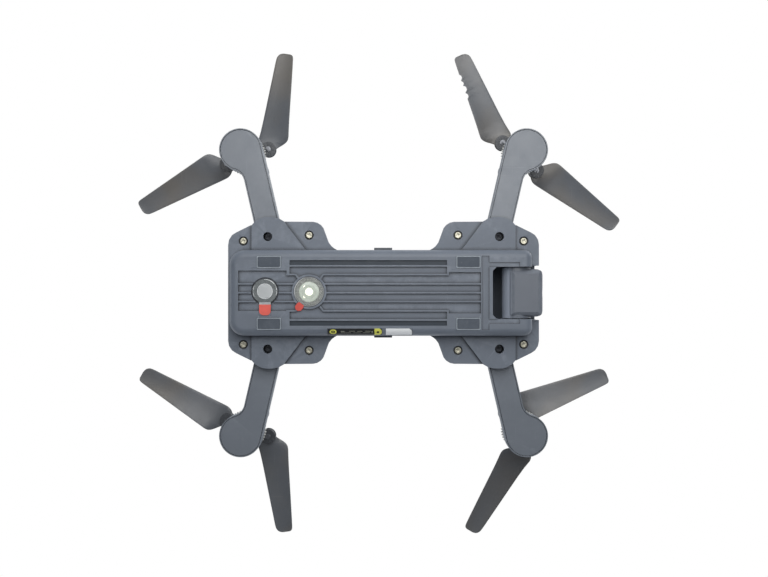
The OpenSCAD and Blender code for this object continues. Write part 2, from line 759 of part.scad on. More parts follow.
function corner_i(side, end) = (side > 0 ? 0 : 2) + (end > 0 ? 0 : 1);
module at_rotor(side, end) { translate([side * rotor_x, end * rotor_y, 0]) children(); }
module rotor_frame(side, end) {
  at_rotor(side, end) rotate(PIN_DEG[corner_i(side, end)]) children();
}
module at_pins() { for (s = [-1, 1]) translate([s * pin_r, 0, 0]) children(); }
module hub_plate() {
  circle(r = 4.2);
  at_pins() circle(r = 3.5);
  translate([-pin_r, -2.5]) square([2 * pin_r, 5]);
}
module rotor_hub(side, end) {
  color(DARK) rotor_frame(side, end) difference() {
    union() {
      for (z = [low_z - plate_t, high_z]) slab(z, plate_t) hub_plate();
      disc(low_z - 0.5, 3.4, 2 * gap + 1);
      cone(high_z + 0.7, 3.3, 2.7, 0.7);
    }
    at_pins() disc(30, 0.83, 10);
    // spindle bore and seat of the hub screw
    disc(30, 0.77, 6.0);
    disc(high_z + 0.9, 1.5, 2);
  }
}
module blade_pins(side, end) {
  color("#c8c9c6") rotor_frame(side, end) {
    at_pins() {
      disc(low_z - 1.1, 1.3, 0.28);
      disc(low_z - 1.0, 0.8, 2 * gap + 2);
      disc(high_z + 0.82, 1.3, 0.28);
    }
    // hub screw
    difference() {
      disc(high_z + 0.92, 1.45, 0.6);
      rotate(25) cross_slot(high_z + 1.2, 1, 2.2, 0.4);
    }
  }
}
module blade_outline() {
  stretch = blade_len / plan_len;
  polygon([for (point = BLADE_PLAN)
    [point[0] * (point[0] > stretch_x ? stretch : 1), point[1]]]);
}
// which: 0 for blade a, 1 for blade b
module blade(side, end, which) {
  i = corner_i(side, end);
  pin_deg = PIN_DEG[i] + 180 * which;
  color("#6e7073") at_rotor(side, end) rotate(pin_deg) translate([pin_r, 0, 0])
    rotate(BLADE_DEG[i][which] - pin_deg) mirror([0, side * end > 0 ? 0 : 1, 0]) difference() {
      union() {
        disc(low_z + 0.1, 3.2, 2 * gap - 0.2);
        // level root between the hub's plates
        slab(blade_z - blade_t / 2, blade_t) intersection() {
          blade_outline();
          translate([-10, -10]) square([13.6, 20]);
        }
        // pitched blade
        translate([0, 0, blade_z]) rotate([pitch, 0, 0]) slab(-blade_t / 2, blade_t)
          difference() {
            blade_outline();
            translate([-10, -10]) square([13, 20]);
          }
      }
      disc(30, 0.87, 10);
    }
}

belly_shell();
mid_frame();
top_shell();
shell_screws();
pivot_screws();
foot_pads();
belly_camera();
lamp_reflector();
lamp_led();
protective_films();
pull_tabs();
side_labels();
main_board();
battery_case();
battery_cell();
latch_left();
latch_right();
power_button();
camera_head();
camera_lens();
arm_shell(1, 1);  // arm_shell_rear_left
arm_cover(1, 1);  // arm_cover_rear_left
motor(1, 1);  // motor_rear_left
bushes(1, 1);  // bushes_rear_left
pinion(1, 1);  // pinion_rear_left
drive_gear(1, 1);  // drive_gear_rear_left
rotor_hub(1, 1);  // rotor_hub_rear_left
blade(1, 1, 0);  // blade_a_rear_left
blade(1, 1, 1);  // blade_b_rear_left
blade_pins(1, 1);  // blade_pins_rear_left
arm_shell(1, -1);  // arm_shell_front_left
arm_cover(1, -1);  // arm_cover_front_left
motor(1, -1);  // motor_front_left
bushes(1, -1);  // bushes_front_left
pinion(1, -1);  // pinion_front_left
drive_gear(1, -1);  // drive_gear_front_left
rotor_hub(1, -1);  // rotor_hub_front_left
blade(1, -1, 0);  // blade_a_front_left
blade(1, -1, 1);  // blade_b_front_left
blade_pins(1, -1);  // blade_pins_front_left
arm_shell(-1, 1);  // arm_shell_rear_right
arm_cover(-1, 1);  // arm_cover_rear_right
motor(-1, 1);  // motor_rear_right
bushes(-1, 1);  // bushes_rear_right
pinion(-1, 1);  // pinion_rear_right
drive_gear(-1, 1);  // drive_gear_rear_right
rotor_hub(-1, 1);  // rotor_hub_rear_right
blade(-1, 1, 0);  // blade_a_rear_right
blade(-1, 1, 1);  // blade_b_rear_right
blade_pins(-1, 1);  // blade_pins_rear_right
arm_shell(-1, -1);  // arm_shell_front_right
arm_cover(-1, -1);  // arm_cover_front_right
motor(-1, -1);  // motor_front_right
bushes(-1, -1);  // bushes_front_right
pinion(-1, -1);  // pinion_front_right
drive_gear(-1, -1);  // drive_gear_front_right
rotor_hub(-1, -1);  // rotor_hub_front_right
blade(-1, -1, 0);  // blade_a_front_right
blade(-1, -1, 1);  // blade_b_front_right
blade_pins(-1, -1);  // blade_pins_front_right
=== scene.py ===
# A small camera drone with four rotors, each with two hinged blades.
# +X is the aircraft's left, +Y its rear and +Z up; the nose points along -Y and the belly lies
# near z = 0. The camera looks straight up at the belly, which carries a camera, a lamp, four
# foot pads and protective films with coral tabs. Part sizes are in mm and converted to metres
# when meshes are made; texture, light and stage sizes are in metres.
import bpy, bmesh, json
from mathutils import Vector, Matrix
from mathutils.noise import noise
from math import asin, cos, degrees, pi, radians, sin, sqrt


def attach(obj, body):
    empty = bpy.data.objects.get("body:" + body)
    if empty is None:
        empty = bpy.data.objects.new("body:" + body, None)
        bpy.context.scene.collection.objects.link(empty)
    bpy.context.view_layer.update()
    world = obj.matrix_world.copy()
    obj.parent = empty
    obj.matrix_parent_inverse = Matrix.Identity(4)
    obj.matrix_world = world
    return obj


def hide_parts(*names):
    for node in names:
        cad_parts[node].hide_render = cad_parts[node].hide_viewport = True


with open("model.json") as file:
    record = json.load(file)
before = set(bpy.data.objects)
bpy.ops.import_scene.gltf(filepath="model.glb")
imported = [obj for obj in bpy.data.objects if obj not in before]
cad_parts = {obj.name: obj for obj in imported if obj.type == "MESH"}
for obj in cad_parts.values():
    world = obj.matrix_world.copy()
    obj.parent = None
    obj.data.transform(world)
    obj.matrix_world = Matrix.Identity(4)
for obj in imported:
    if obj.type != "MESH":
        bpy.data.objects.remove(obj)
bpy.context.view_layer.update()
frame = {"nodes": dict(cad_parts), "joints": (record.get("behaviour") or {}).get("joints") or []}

MM = 0.001
scene = bpy.context.scene


# ------------------------------------------------------------------ shader graphs
def srgb(colour):
    """Linear RGBA from a 0-255 sRGB colour."""
    def linear(c):
        c = c / 255.0
        return c / 12.92 if c <= 0.04045 else ((c + 0.055) / 1.055) ** 2.4
    return tuple(linear(c) for c in colour) + (1.0,)


def tone(colour, factor, lift=0.0):
    """A linear colour made darker or lighter, kept within 1."""
    return tuple(min(1, c * factor + lift) for c in colour[:3]) + (1,)


class Graph:
    """Adds nodes to an emptied shader tree; a value may be a constant or another socket."""

    def __init__(self, tree):
        self.tree = tree
        tree.nodes.clear()

    def feed(self, socket, value):
        if isinstance(value, bpy.types.NodeSocket):
            self.tree.links.new(value, socket)
        else:
            socket.default_value = value

    def add(self, kind, inputs=None, **settings):
        node = self.tree.nodes.new("ShaderNode" + kind)
        for key, value in settings.items():
            setattr(node, key, value)
        for key, value in (inputs or {}).items():
            self.feed(node.inputs[key], value)
        return node

    def math(self, operation, a, b=0.0, clamp=False):
        return self.add("Math", {0: a, 1: b}, operation=operation, use_clamp=clamp).outputs[0]

    def remap(self, value, across, to=(0, 1)):
        """Takes the range across to the range to, clamped at both ends."""
        inputs = {1: across[0], 2: across[1], 3: to[0], 4: to[1], 0: value}
        return self.add("MapRange", inputs).outputs[0]

    def split(self, vector):
        return self.add("SeparateXYZ", {0: vector}).outputs


class Material(Graph):
    """A Principled material textured in object coordinates."""

    def __init__(self, name):
        self.data = bpy.data.materials.new(name)
        self.data.use_nodes = True
        super().__init__(self.data.node_tree)
        output = self.add("OutputMaterial")
        self.shader = self.add("BsdfPrincipled")
        self.feed(output.inputs[0], self.shader.outputs[0])
        self.coords = self.add("TexCoord").outputs["Object"]
        self.last_bump = None

    def set(self, key, value):
        self.feed(self.shader.inputs[key], value)

    def mapping(self, scale, turn=0.0):
        inputs = {"Scale": scale, "Rotation": (0, 0, turn), 0: self.coords}
        return self.add("Mapping", inputs).outputs[0]

    def noise(self, scale, detail, rough, vector=None, distortion=0.0):
        return self.add("TexNoise", {
            "Scale": scale, "Detail": detail, "Roughness": rough, "Distortion": distortion,
            "Vector": self.coords if vector is None else vector}).outputs["Fac"]

    def mix(self, a, b, factor):
        # inputs 6 and 7 and output 2 are the colour sockets
        return self.add("Mix", {0: factor, 6: a, 7: b}, data_type="RGBA").outputs[2]

    def bump(self, height, strength, distance):
        """Adds a bump on top of any earlier one."""
        inputs = {"Strength": strength, "Distance": distance, "Height": height}
        if self.last_bump is not None:
            inputs["Normal"] = self.last_bump
        self.last_bump = self.add("Bump", inputs).outputs[0]
        self.set("Normal", self.last_bump)


# ------------------------------------------------------------------ kinds of material
def moulded(name, colour, rough, wear_colour=None, grain=2600, grain_depth=0.00003,
            mottle=0.10, wear=0.35, specular=0.5, dust=0.0, scratch=0.25, crevice_shade=0.0,
            drift=None, local=None):
    """Moulded plastic: fine grain, faint mottling, paler rubbed edges and hairline scuffs.

    drift is a second colour in broad patches; crevice paints shade into hollows; local paints
    light or shade on one place.
    """
    mat = Material(name)
    base = srgb(colour)
    worn = srgb(wear_colour or tuple(min(255, c + 34) for c in colour))

    cloud = mat.noise(scale=70, detail=4, rough=0.6)
    c = mat.mix(tone(base, 1 - mottle), tone(base, 1 + mottle),
                mat.remap(cloud, across=(0.3, 0.7)))
    speck = mat.noise(scale=900, detail=2, rough=0.5)
    c = mat.mix(c, tone(base, 1.25, lift=0.004),
                mat.remap(speck, across=(0.62, 0.8), to=(0, 0.22)))
    if drift:
        patches = mat.noise(scale=26, detail=2, rough=0.5, distortion=0.6)
        c = mat.mix(c, srgb(drift), mat.remap(patches, across=(0.42, 0.60), to=(0, 0.75)))

    # rubbed edges, broken up by noise
    pointiness = mat.add("NewGeometry").outputs["Pointiness"]
    edge = mat.remap(pointiness, across=(0.52, 0.60))
    rub = mat.noise(scale=260, detail=4, rough=0.7)
    edge = mat.math("MULTIPLY", edge, mat.remap(rub, across=(0.35, 0.62), to=(0, wear)),
                    clamp=True)
    c = mat.mix(c, worn, edge)

    # hairline scuffs in two directions
    scuff_a = mat.noise(scale=36, detail=2, rough=0.5,
                        vector=mat.mapping(scale=(1, 34, 6), turn=0.5))
    scuff_b = mat.noise(scale=30, detail=2, rough=0.5,
                        vector=mat.mapping(scale=(28, 1, 6), turn=0.2))
    scuffs = mat.math("MAXIMUM", mat.remap(scuff_a, across=(0.71, 0.76)),
                      mat.remap(scuff_b, across=(0.72, 0.77)))
    c = mat.mix(c, worn, mat.math("MULTIPLY", scuffs, scratch))

    if dust:
        grit = mat.noise(scale=520, detail=5, rough=0.75)
        c = mat.mix(c, srgb((205, 205, 200)),
                    mat.remap(grit, across=(0.63, 0.72), to=(0, dust)))
    # painted shade: the colour darkens in hollows and creases, where shade falls
    if crevice_shade:
        occlusion = mat.add("AmbientOcclusion", {"Distance": 0.0018}, samples=6).outputs["AO"]
        c = mat.mix(c, tone(base, 0.16),
                    mat.remap(occlusion, across=(0.42, 0.96), to=(crevice_shade, 0.0)))
    if local:
        c = local(mat, c, base)
    mat.set("Base Color", c)

    # rubbed edges are a little glossier
    gloss = mat.remap(mat.noise(scale=180, detail=4, rough=0.6),
                      across=(0.25, 0.75), to=(rough - 0.06, rough + 0.08))
    mat.set("Roughness", mat.math("SUBTRACT", gloss, mat.math("MULTIPLY", edge, 0.12)))
    mat.set("Specular IOR Level", specular)
    mat.bump(mat.noise(scale=grain, detail=2, rough=0.6), strength=0.28, distance=grain_depth)
    mat.bump(cloud, strength=0.05, distance=0.0002)
    return mat.data


# the two deep side slots of the belly, where shade is painted, in metres: distance from the
# centre line, y, lowest z
SLOT_X = (0.01196, 0.01414)
SLOT_Y = (-0.0274, 0.0405)
SLOT_Z = 0.0003
# the painted highlight on the barrel at the tilt axis fades in over this range of y, in metres
BARREL_Y = (-0.0556, -0.0544)


def shaded_slots(mat, colour, base):
    """Paints shade into the inside of the belly's side slots."""
    def within(value, limits):
        return mat.math("MULTIPLY", mat.math("GREATER_THAN", value, limits[0]),
                        mat.math("LESS_THAN", value, limits[1]))
    x, y, z = mat.split(mat.coords)
    inside = mat.math("MULTIPLY", within(mat.math("ABSOLUTE", x), SLOT_X), within(y, SLOT_Y))
    inside = mat.math("MULTIPLY", inside, mat.math("GREATER_THAN", z, SLOT_Z))
    shade = (base[0] * 0.12, base[1] * 0.17, base[2] * 0.21, 1)
    return mat.mix(colour, shade, mat.math("MULTIPLY", inside, 0.9))


def barrel_painted_highlight(mat, colour, base):
    """Paints a highlight on the turned barrel, making it paler than the block in front of it."""
    y = mat.split(mat.coords)[1]
    return mat.mix(colour, tone(base, 2.3), mat.remap(y, across=BARREL_Y, to=(0, 0.85)))


def metal(name, colour, rough, brushed=0.4, spots=0.1, stretch=(1, 1, 1)):
    """Metal with brushed grain and dull brownish spots."""
    mat = Material(name)
    base = srgb(colour)
    grain = mat.noise(scale=1400, detail=3, rough=0.6, vector=mat.mapping(scale=stretch))
    c = mat.mix(tone(base, 0.72), base, mat.remap(grain, across=(0.3, 0.7)))
    spotting = mat.noise(scale=700, detail=4, rough=0.7)
    c = mat.mix(c, srgb((120, 112, 96)),
                mat.remap(spotting, across=(0.62, 0.75), to=(0, spots)))
    mat.set("Base Color", c)
    mat.set("Metallic", 1.0)
    mat.set("Roughness", mat.remap(grain, across=(0.2, 0.8),
                                   to=(rough * (1 - brushed), rough * (1 + brushed))))
    mat.bump(grain, strength=0.2, distance=0.00002)
    return mat.data


def plain(name, colour, rough, vary, scale, specular=0.5, coat=0.0, alpha=1.0, painted_glow=None):
    """A smooth material, its colour varying by the share vary; the last argument is an emission
    colour, used to paint a glow.
    """
    mat = Material(name)
    base = srgb(colour)
    cloud = mat.noise(scale=scale, detail=4, rough=0.6)
    mat.set("Base Color", mat.mix(tone(base, 1 - vary), tone(base, 1 + vary),
                                  mat.remap(cloud, across=(0.3, 0.7))))
    mat.set("Roughness", mat.remap(mat.noise(scale=scale * 4, detail=3, rough=0.6),
                                   across=(0.25, 0.75), to=(rough * 0.85, rough * 1.2)))
    mat.set("Specular IOR Level", specular)
    mat.set("IOR", 1.45)
    mat.set("Coat Weight", coat)
    mat.set("Alpha", alpha)
    if painted_glow:
        mat.set("Emission Color", srgb(painted_glow))
        mat.set("Emission Strength", 1.0)
    mat.bump(mat.noise(scale=scale * 12, detail=2, rough=0.5), strength=0.2, distance=0.00002)
    return mat.data


def cling_film(name, colour, alpha, haze):
    """Clear film with a soft milky haze, fine wrinkles and a glossy skin."""
    mat = Material(name)
    base = srgb(colour)
    cloud = mat.noise(scale=330, detail=4, rough=0.6, distortion=0.4)
    mat.set("Base Color", mat.mix(tone(base, 0.86), base,
                                  mat.remap(cloud, across=(0.3, 0.7))))
    mat.set("Alpha", mat.remap(cloud, across=(0.25, 0.75), to=(alpha - haze, alpha + haze)))
    mat.set("Roughness", 0.12)
    mat.set("Specular IOR Level", 0.6)
    mat.bump(mat.noise(scale=420, detail=3, rough=0.6, distortion=0.8),
             strength=0.35, distance=0.00012)
    mat.data.surface_render_method = "BLENDED"
    return mat.data


# ------------------------------------------------------------------ materials
SLATE = (110, 118, 130)
MATERIALS = {
    "shell": moulded("slate_shell", SLATE, rough=0.44, mottle=0.05, dust=0.07, crevice_shade=0.8),
    "belly": moulded("slate_belly", SLATE, rough=0.44, mottle=0.05, dust=0.07, crevice_shade=1.0,
                     local=shaded_slots),
    "arm": moulded("slate_arm", (112, 119, 129), rough=0.37, mottle=0.04, dust=0.05,
                   crevice_shade=0.6, specular=0.8),
    "dark": moulded("dark_plastic", (70, 75, 84), rough=0.42),
    "head": moulded("camera_head_plastic", (108, 114, 124), rough=0.38, mottle=0.05,
                    local=barrel_painted_highlight),
    "hub": moulded("hub_plastic", (66, 69, 74), rough=0.40),
    "pin": metal("pin_steel", (120, 122, 127), rough=0.34),
    "blade": moulded("blade_nylon", (94, 98, 104), wear_colour=(140, 138, 134), rough=0.38,
                     grain=3200, mottle=0.08, wear=0.5, dust=0.05, scratch=0.12,
                     specular=0.8, drift=(104, 99, 92)),
    "rubber": moulded("pad_rubber", (84, 91, 101), rough=0.72, grain=1800,
                      grain_depth=0.00006, specular=0.3, dust=0.22, wear=0.2, scratch=0.1),
    "screw": metal("nickel_screw", (196, 193, 176), rough=0.36, spots=0.3),
    "dark_steel": metal("blackened_steel", (58, 60, 64), rough=0.42),
    "alu": metal("motor_can", (196, 198, 202), rough=0.3, stretch=(1, 1, 0.05)),
    "bronze": metal("sintered_bronze", (184, 146, 84), rough=0.45, brushed=0.2),
    "reflector": metal("reflector_foil", (228, 230, 224), rough=0.12, brushed=0.5, spots=0.0),
    "gear": moulded("natural_acetal", (206, 206, 202), rough=0.35, wear=0.1, scratch=0.1),
    "cell": moulded("cell_wrap", (150, 160, 176), rough=0.3, grain=900, wear=0.1),
    "film": cling_film("clear_film", (150, 156, 158), alpha=0.52, haze=0.08),
    # painted highlight along the raised rims of the foot pads
    "pad_rim_highlight": plain("pad_rim_painted_highlight", (158, 168, 177), rough=0.3, vary=0.15, scale=700),
    # painted highlights on the film edges and the camera window's rim
    "painted_glint": plain("painted_glint_white", (236, 240, 242), rough=0.15, vary=0.06, scale=500,
                    specular=0.8, coat=0.6),
    "flange": plain("lamp_flange", (80, 90, 95), rough=0.3, vary=0.10, scale=400, coat=0.2),
    "lamp_lens": plain("lamp_lens_frosted", (222, 232, 220), rough=0.22, vary=0.07, scale=260,
                       specular=0.6, coat=0.5),
    # painted halo: a pale ring around the lamp's painted bright spot
    "painted_glow": plain("lamp_painted_halo", (216, 226, 212), rough=0.25, vary=0.08, scale=400, coat=0.3),
    "ink": plain("label_grey_ink", (150, 152, 140), rough=0.4, vary=0.08, scale=300),
    "film_lamp": cling_film("film_over_lamp", (200, 204, 200), alpha=0.07, haze=0.03),
    "red": plain("coral_tab", (238, 104, 92), rough=0.35, vary=0.10, scale=160, coat=0.3),
    "strip": plain("strip_black", (34, 36, 38), rough=0.3, vary=0.2, scale=240),
    "yellow": plain("strip_yellow", (222, 222, 100), rough=0.35, vary=0.08, scale=300),
    "white": plain("label_white", (240, 243, 246), rough=0.4, vary=0.02, scale=90),
    # painted reflection: a pale glowing material for the bright spots of the lamp
    "led": plain("led_painted_reflection", (250, 250, 226), rough=0.4, vary=0.04, scale=500,
                 painted_glow=(255, 254, 236)),
    "lens": plain("coated_lens", (22, 24, 34), rough=0.06, vary=0.2, scale=60, specular=0.9,
                  coat=1.0),
    "bezel": plain("lens_bezel", (38, 41, 47), rough=0.35, vary=0.12, scale=300),
    "rim": plain("cut_film_rim", (206, 210, 212), rough=0.18, vary=0.12, scale=500,
                 specular=0.7, coat=0.4, alpha=0.75),
    "window": plain("camera_window", (196, 200, 202), rough=0.16, vary=0.05, scale=160,
                    specular=0.6, coat=0.5),
    "red_deep": plain("coral_tab_deep", (216, 84, 74), rough=0.35, vary=0.10, scale=160,
                      coat=0.3),
    "board": plain("solder_mask", (34, 92, 62), rough=0.3, vary=0.2, scale=400, coat=0.4),
}


# ------------------------------------------------------------------ mesh tools
def smooth_by_angle(mesh, angle):
    mesh.shade_smooth()
    mesh.set_sharp_from_angle(angle=radians(angle))


def link_object(name, bm, material):
    mesh = bpy.data.meshes.new(name)
    bm.to_mesh(mesh)
    bm.free()
    obj = bpy.data.objects.new(name, mesh)
    scene.collection.objects.link(obj)
    mesh.materials.append(material)
    return obj


def smooth_object(name, bm, material, angle):
    """An object with outward normals, smooth where faces meet below the angle in degrees."""
    bmesh.ops.recalc_face_normals(bm, faces=bm.faces)
    obj = link_object(name, bm, MATERIALS[material])
    smooth_by_angle(obj.data, angle)
    return obj


def to_metres(bm):
    for v in bm.verts:
        v.co = v.co * MM


def bridge(bm, a, b, flip=False):
    """Faces between two closed rings of vertices; either may be a single point."""
    count = max(len(a), len(b))
    for i in range(count):
        j = (i + 1) % count
        if len(a) == 1:
            corners = (a[0], b[j], b[i])
        elif len(b) == 1:
            corners = (a[i], a[j], b[0])
        else:
            corners = (a[i], a[j], b[j], b[i])
        bm.faces.new(corners[::-1] if flip else corners)


def lathe(bm, profile, segments, centre=(0, 0), close=True):
    """Turns an (r, z) outline about the vertical axis through centre."""
    rings = []
    for r, z in profile:
        if r < 1e-9:
            rings.append([bm.verts.new((centre[0], centre[1], z))])
        else:
            rings.append([bm.verts.new((centre[0] + r * cos(2 * pi * i / segments),
                                        centre[1] + r * sin(2 * pi * i / segments), z))
                          for i in range(segments)])
    for a, b in zip(rings, rings[1:] + (rings[:1] if close else [])):
        bridge(bm, a, b)


# ------------------------------------------------------------------ CAD pieces
# piece: (material, width of the rounded edges in metres, or None for none);
# the four rotors share the entries of their pieces
PIECES = {
    "belly_shell": ("belly", 0.0002), "mid_frame": ("shell", 0.0002),
    "top_shell": ("shell", 0.0003), "shell_screws": ("screw", 0.00008),
    "pivot_screws": ("dark_steel", 0.00008), "foot_pads": ("rubber", 0.00025),
    "belly_camera": ("bezel", None), "lamp_reflector": ("reflector", None),
    # the LED chip wears the glowing material of the lamp's painted reflection
    "lamp_led": ("led", None), "protective_films": ("film", None),
    "pull_tabs": ("red", None), "side_labels": ("strip", None),
    "main_board": ("board", 0.0001), "battery_case": ("shell", 0.00022),
    "battery_cell": ("cell", 0.0003), "latch_left": ("dark", 0.00012),
    "latch_right": ("dark", 0.00012), "power_button": ("dark", 0.00025),
    "camera_head": ("head", 0.0006), "camera_lens": ("lens", 0.00012),
    "arm_shell": ("arm", 0.0003), "arm_cover": ("arm", 0.00018), "motor": ("alu", 0.0002),
    "bushes": ("bronze", None), "pinion": ("gear", None), "drive_gear": ("gear", None),
    "rotor_hub": ("hub", 0.00018), "blade_a": ("blade", None), "blade_b": ("blade", None),
    "blade_pins": ("pin", 0.0001),
}
# rotor: (hand of its blades, turn of blade a, turn of blade b in degrees)
ROTORS = {
    "rear_left": (1, 119.2, -9.2),
    "front_left": (-1, -109.5, 32.1),
    "rear_right": (-1, 62.2, -170.4),
    "front_right": (1, 155.3, -54.9),
}


def round_edges(obj, width, segments, angle):
    weld = obj.modifiers.new("weld", "WELD")
    weld.merge_threshold = 0.000002
    bevel = obj.modifiers.new("edge_round", "BEVEL")
    bevel.width = width
    bevel.segments = segments
    bevel.limit_method = "ANGLE"
    bevel.angle_limit = radians(angle)
    bevel.use_clamp_overlap = True
    bevel.harden_normals = False
    bevel.miter_outer = "MITER_ARC" if segments > 2 else "MITER_SHARP"
    normals = obj.modifiers.new("flat_faces", "WEIGHTED_NORMAL")
    normals.mode = "FACE_AREA"
    normals.weight = 80
    normals.thresh = 0.02
    normals.keep_sharp = True


def dress_cad_piece(name, obj):
    """Material, shading and rounded edges, with the vertices left alone."""
    kind = name
    for corner in ROTORS:
        kind = kind.removesuffix("_" + corner)
    material, width = PIECES[kind]
    mesh = obj.data
    mesh.materials.clear()
    mesh.materials.append(MATERIALS[material])
    if "custom_normal" in mesh.attributes:
        mesh.attributes.remove(mesh.attributes["custom_normal"])
    # the camera head gets finer creases and a rounder edge
    is_head = kind == "camera_head"
    smooth_by_angle(mesh, 12 if is_head else 32)
    if width:
        segments, angle = (3, 20) if is_head else (2, 38)
        round_edges(obj, width, segments, angle)


for name, obj in frame["nodes"].items():
    dress_cad_piece(name, obj)


# ------------------------------------------------------------------ blades
# Along the blade, x runs outward from the hinge pin. Columns: x, value.
# leading edge: y in mm
LEADING = [(-1.9, 2.5), (-1.2, 3.2), (-0.3, 3.9), (0.7, 4.75), (1.4, 5.15), (2.2, 5.45),
           (3.2, 5.58), (5, 5.5), (9, 5.3), (24, 4.55), (36, 3.95), (42.0, 3.65),
           (43.4, 3.46), (44.4, 3.0), (45.1, 2.35), (45.55, 1.5), (45.8, 0.4)]
# trailing edge: y in mm
TRAILING = [(-1.9, -2.3), (-0.8, -2.8), (0.2, -3.1), (1.6, -4.3), (3.2, -6.2), (4.4, -7.5),
            (5.4, -8.2), (6.4, -8.55), (7.6, -8.6), (9, -8.45), (24, -6.68), (36, -5.28),
            (42.0, -4.58), (44.2, -4.28), (45.0, -4.0), (45.5, -3.5), (45.75, -2.9),
            (45.8, -2.4)]
# pitch in degrees
PITCH = [(-2, 0), (2.6, 0), (4.5, 5), (8, 12), (14, 14), (24, 12), (34, 9), (45.8, 6)]
# thickness in mm
THICKNESS = [(-2, 1.5), (2, 1.45), (5, 1.3), (10, 1.15), (20, 1.0), (34, 0.8), (45.8, 0.6)]
# nicks in the trailing edge of one blade: x, half width, depth in mm
NICKS = [(27.0, 1.3, 0.9), (30.4, 1.6, 1.25), (33.2, 1.0, 0.7), (36.2, 1.2, 0.8)]
# stations of the cross-sections: root, middle (plain or nicked) and tip
ROOT_STATIONS = [-1.9, -1.4, -0.8, -0.2, 0.5, 1.1, 1.7, 2.4, 3.0, 3.6, 4.2, 4.8, 5.4, 6.0,
                 6.8, 7.6, 8.4, 9.4, 10.8, 12.6, 14.8, 17, 19.6, 22.2, 24.8]
PLAIN_STATIONS = [27.4, 30.0, 32.6, 35.0, 37.2]
NICKED_STATIONS = [25.4 + 0.35 * i for i in range(37)]
TIP_STATIONS = [39.0, 40.6, 42.0, 42.9, 43.6, 44.2, 44.7, 45.1, 45.4, 45.6, 45.73, 45.79]
CHORD_STEPS = 10
CAMBER = 0.045      # share of the chord
CAMBER_START = 3.5  # x where the camber begins
CAMBER_RUN = 6      # length over which it grows to full
BLADE_Z = 35.4      # height of the blade's middle
EYE_HALF = 1.03     # half height of the eye on the hinge pin
# outline of the eye: radius, height from the blade's middle
EYE = [(0.88, -EYE_HALF), (0.88, EYE_HALF), (2.9, EYE_HALF), (3.14, EYE_HALF - 0.08),
       (3.22, EYE_HALF - 0.3), (3.22, -EYE_HALF + 0.3), (3.14, -EYE_HALF + 0.08),
       (2.9, -EYE_HALF)]


def curve(points, x):
    """Smooth value at x through (x, y) points (monotone cubic)."""
    if x <= points[0][0]:
        return points[0][1]
    if x >= points[-1][0]:
        return points[-1][1]
    slopes = [(q[1] - p[1]) / (q[0] - p[0]) for p, q in zip(points, points[1:])]
    tangents = [slopes[0]]
    for a, b in zip(slopes, slopes[1:]):
        tangents.append(0 if a * b <= 0 else 2 * a * b / (a + b))
    tangents.append(slopes[-1])
    i = next(k for k in range(len(slopes)) if x <= points[k + 1][0])
    span = points[i + 1][0] - points[i][0]
    t = (x - points[i][0]) / span
    return ((2 * t ** 3 - 3 * t ** 2 + 1) * points[i][1]
            + (t ** 3 - 2 * t ** 2 + t) * span * tangents[i]
            + (-2 * t ** 3 + 3 * t ** 2) * points[i + 1][1]
            + (t ** 3 - t ** 2) * span * tangents[i + 1])


def blade_section(x, nicks):
    """Closed (y, z) outline of the blade at x, before pitch: upper side, then lower side."""
    lead, trail = curve(LEADING, x), curve(TRAILING, x)
    for nick_x, half_width, depth in nicks:
        off = abs(x - nick_x) / half_width
        if off < 1:
            trail += depth * (1 - off ** 3)
    thickness = curve(THICKNESS, x)
    chord = lead - trail
    upper, lower = [], []
    for i in range(CHORD_STEPS + 1):
        s = 0.5 - 0.5 * cos(pi * (i / CHORD_STEPS))
        # s runs from the leading edge (0) to the trailing edge (1), rounded at both ends
        thick = thickness * (1.15 * sqrt(s) * (1 - s) + 0.42 * sqrt(1 - s) * s + 0.08)
        thick *= 1 if 0 < s < 1 else 0.45
        camber = CAMBER * chord * (4 * s * (1 - s))
        camber *= min(1, max(0, (x - CAMBER_START) / CAMBER_RUN))
        y = lead - s * chord
        upper.append((y, camber + thick * 0.55))
        lower.append((y, camber - thick * 0.45))
    return upper + lower[::-1]


def blade(name, place, hand, nicked):
    bm = bmesh.new()
    middle = NICKED_STATIONS if nicked else PLAIN_STATIONS
    rings = []
    for x in ROOT_STATIONS + middle + TIP_STATIONS:
        pitch = radians(curve(PITCH, x))
        rings.append([bm.verts.new((x, (y * cos(pitch) - z * sin(pitch)) * hand,
                                    y * sin(pitch) + z * cos(pitch) + BLADE_Z))
                      for y, z in blade_section(x, NICKS if nicked else [])])
    for a, b in zip(rings, rings[1:]):
        bridge(bm, a, b)
    bm.faces.new(rings[0])
    bm.faces.new(rings[-1][::-1])
    lathe(bm, [(r, BLADE_Z + z) for r, z in EYE], segments=48)
    for v in bm.verts:
        v.co = place @ (v.co * MM)
    return smooth_object(name, bm, "blade", angle=48)


joints = {joint["name"]: joint for joint in frame["joints"]}
for corner, (hand, *turns) in ROTORS.items():
    for letter, turn in zip("ab", turns):
        hinge = joints[f"blade_{letter}_hinge_{corner}"]["pos_m"]
        place = (Matrix.Translation((hinge[0], hinge[1], 0))
                 @ Matrix.Rotation(radians(turn), 4, "Z"))
        piece = f"blade_{letter}_{corner}"
        obj = blade("rotor_" + piece, place, hand, nicked=piece == "blade_a_front_right")
        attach(obj, piece)
        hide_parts(piece)


# ------------------------------------------------------------------ shapes on the belly
WAVE_SCALE = 0.45  # ripples of a film per mm
SHEET_RINGS = 7


def on_airframe(obj, replaced=None):
    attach(obj, "airframe")
    if replaced:
        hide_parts(replaced)


def arc(cx, cy, r, start, end, steps):
    """Points along an arc, angles in degrees."""
    angles = [radians(start + (end - start) * i / steps) for i in range(steps + 1)]
    return [(cx + r * cos(a), cy + r * sin(a)) for a in angles]


